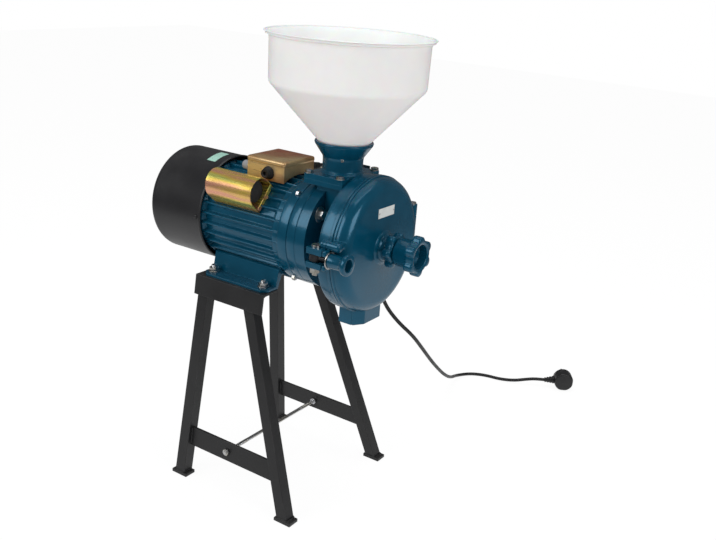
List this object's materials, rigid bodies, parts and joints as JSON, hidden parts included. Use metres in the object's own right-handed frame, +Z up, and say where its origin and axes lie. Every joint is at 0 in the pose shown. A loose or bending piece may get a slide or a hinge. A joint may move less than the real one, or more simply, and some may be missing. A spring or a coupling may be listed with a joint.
{
  "type": "electric grain mill",
  "caption": "Electric disc mill for grain on a four-legged stand: finned motor, drum with hinged front cover, hand-wheel gap setting, white funnel hopper, spout and cord.",
  "frame": {"origin": "on the floor, in the machine's middle plane, 3.5 mm towards the hand wheel from under the middle of the four foot bolts", "axes": "+X along the motor shaft towards the hand wheel, +Y to the side with the cover's hinge and the cord, +Z up"},
  "size_m": [0.5101, 0.7606, 0.712],
  "materials": {
    "stand_black": "satin",
    "mill_blue": "gloss",
    "cover_black": "satin",
    "zinc_gold": "satin",
    "box_tan": "satin",
    "zinc": "satin",
    "steel": "satin",
    "cast_steel": "matte",
    "copper": "satin",
    "aluminium": "satin",
    "hopper_white": "satin",
    "rubber_black": "matte",
    "grey_plastic": "satin",
    "label_white": "satin",
    "plug_black": "satin"
  },
  "bodies": {
    "stand_and_mill": {"rail_near": "stand_black", "rail_far": "stand_black", "leg_near_rear": "stand_black", "leg_near_front": "stand_black", "leg_far_rear": "stand_black", "leg_far_front": "stand_black", "crossbar_near": "stand_black", "crossbar_far": "stand_black", "tie_rod": "zinc", "motor_foot": "mill_blue", "foot_bolt_near_rear": "zinc", "foot_bolt_near_front": "zinc", "foot_bolt_far_rear": "zinc", "foot_bolt_far_front": "zinc", "motor_frame": "mill_blue", "capacitor_cover_near": "zinc_gold", "capacitor_near": "aluminium", "capacitor_cover_far": "zinc_gold", "capacitor_far": "aluminium", "terminal_box": "box_tan", "terminal_box_lid": "box_tan", "cable_boot": "rubber_black", "cable_gland": "grey_plastic", "cord_gland": "plug_black", "stator_core": "cast_steel", "stator_winding": "copper", "end_shield_front": "mill_blue", "end_shield_rear": "mill_blue", "bearing_rear": "steel", "bearing_front": "steel", "fan_cover": "cover_black", "mill_housing": "mill_blue", "flange_bolt_1": "zinc", "flange_bolt_2": "zinc", "flange_bolt_3": "zinc", "flange_bolt_4": "zinc", "throat_collar": "mill_blue", "throat_bolt_near_rear": "zinc", "throat_bolt_far_rear": "zinc", "throat_bolt_near_front": "zinc", "throat_bolt_far_front": "zinc", "hinge_pin": "zinc", "clamp_pin": "zinc", "power_cord": "rubber_black", "power_plug": "plug_black"},
    "rotor": {"motor_shaft": "steel", "rotor_core": "aluminium", "cooling_fan": "plug_black", "feed_auger": "cast_steel", "turning_disc": "cast_steel"},
    "cover": {"front_cover": "mill_blue", "label_plate": "label_white"},
    "disc_carrier": {"pressure_plate": "cast_steel", "fixed_disc": "cast_steel"},
    "screw": {"adjusting_screw": "mill_blue"},
    "lock": {"lock_wheel": "mill_blue"},
    "clamp": {"swing_bolt": "zinc"},
    "nut": {"hand_nut": "mill_blue"},
    "shutter": {"feed_shutter": "steel"},
    "funnel": {"hopper": "hopper_white"}
  },
  "joints": [
    {"name": "rotor_spin", "type": "hinge", "parent": "stand_and_mill", "child": "rotor", "pos_m": [0, 0, 0.4215], "axis": [1, 0, 0], "continuous": true},
    {"name": "cover_swing", "type": "hinge", "parent": "stand_and_mill", "child": "cover", "pos_m": [0.182, 0.109, 0.436], "axis": [0, 0, 1], "range_deg": [0, 110]},
    {"name": "disc_gap", "type": "slide", "parent": "cover", "child": "disc_carrier", "axis": [1, 0, 0], "range_m": [-0.0007, 0.004]},
    {"name": "screw_turn", "type": "hinge", "parent": "disc_carrier", "child": "screw", "pos_m": [0.25, 0, 0.4215], "axis": [1, 0, 0], "range_deg": [-130, 725]},
    {"name": "lock_turn", "type": "hinge", "parent": "cover", "child": "lock", "pos_m": [0.22, 0, 0.4215], "axis": [1, 0, 0], "range_deg": [-90, 90]},
    {"name": "clamp_swing", "type": "hinge", "parent": "stand_and_mill", "child": "clamp", "pos_m": [0.164, -0.1105, 0.424], "axis": [0, 0, 1], "range_deg": [-100, 0]},
    {"name": "nut_turn", "type": "hinge", "parent": "cover", "child": "nut", "pos_m": [0.2, -0.1105, 0.424], "axis": [1, 0, 0], "range_deg": [-180, 180]},
    {"name": "shutter_slide", "type": "slide", "parent": "stand_and_mill", "child": "shutter", "axis": [0, 1, 0], "range_m": [0, 0.054]},
    {"name": "hopper_lift", "type": "slide", "parent": "stand_and_mill", "child": "funnel", "axis": [0, 0, 1], "range_m": [0, 0.12]}
  ],
  "couplings": [
    {"joint": "screw_turn", "follows": "disc_gap", "rad_per_m": 3141.6}
  ]
}
